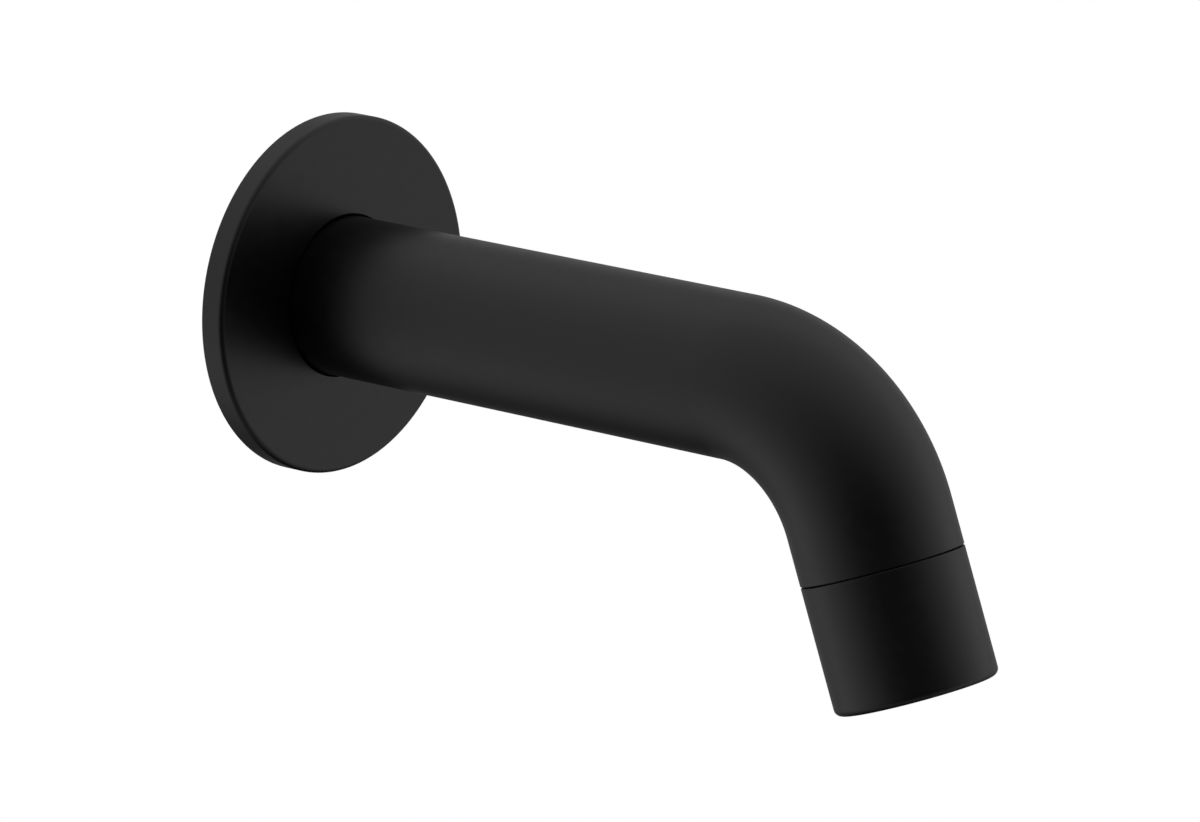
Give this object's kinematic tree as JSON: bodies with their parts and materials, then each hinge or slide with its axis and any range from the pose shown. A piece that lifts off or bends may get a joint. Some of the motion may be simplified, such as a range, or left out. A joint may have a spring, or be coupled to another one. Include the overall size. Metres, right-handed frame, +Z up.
{
  "type": "wall spout",
  "caption": "Wall-mounted round spout with a disc-shaped cover flange, a bent tube and a screw-on outlet collar that holds a flow insert.",
  "frame": {"origin": "on the tube's axis, at the face of the wall that the flange lies on", "axes": "+Y points into the wall and the spout points along -Y; +Z is up, and the outlet is bent down towards -Z; the part is symmetric about the YZ plane"},
  "size_m": [0.072, 0.1785, 0.0958],
  "materials": {
    "matte_black": "satin black coating",
    "black_rubber": "moulded rubber",
    "brass": "turned",
    "stainless": "bright stainless",
    "pale_plastic": "moulded",
    "grey_plastic": "moulded"
  },
  "bodies": {
    "root": {"wall_flange": "matte_black", "flange_gasket": "black_rubber", "flange_o_ring": "black_rubber", "spout_body": "matte_black", "inlet_bush": "brass", "inlet_spigot": "brass", "rear_o_ring": "black_rubber", "front_o_ring": "black_rubber", "grub_screw": "stainless", "outlet_bush": "brass", "collar_o_ring": "black_rubber", "outlet_collar": "matte_black", "insert_washer": "black_rubber", "insert_housing": "pale_plastic", "inlet_strainer": "stainless", "flow_regulator": "grey_plastic", "regulator_o_ring": "black_rubber", "jet_plate": "grey_plastic", "upper_screen": "stainless", "screen_spacer": "grey_plastic", "lower_screen": "stainless", "honeycomb_grid": "pale_plastic"}
  },
  "joints": []
}
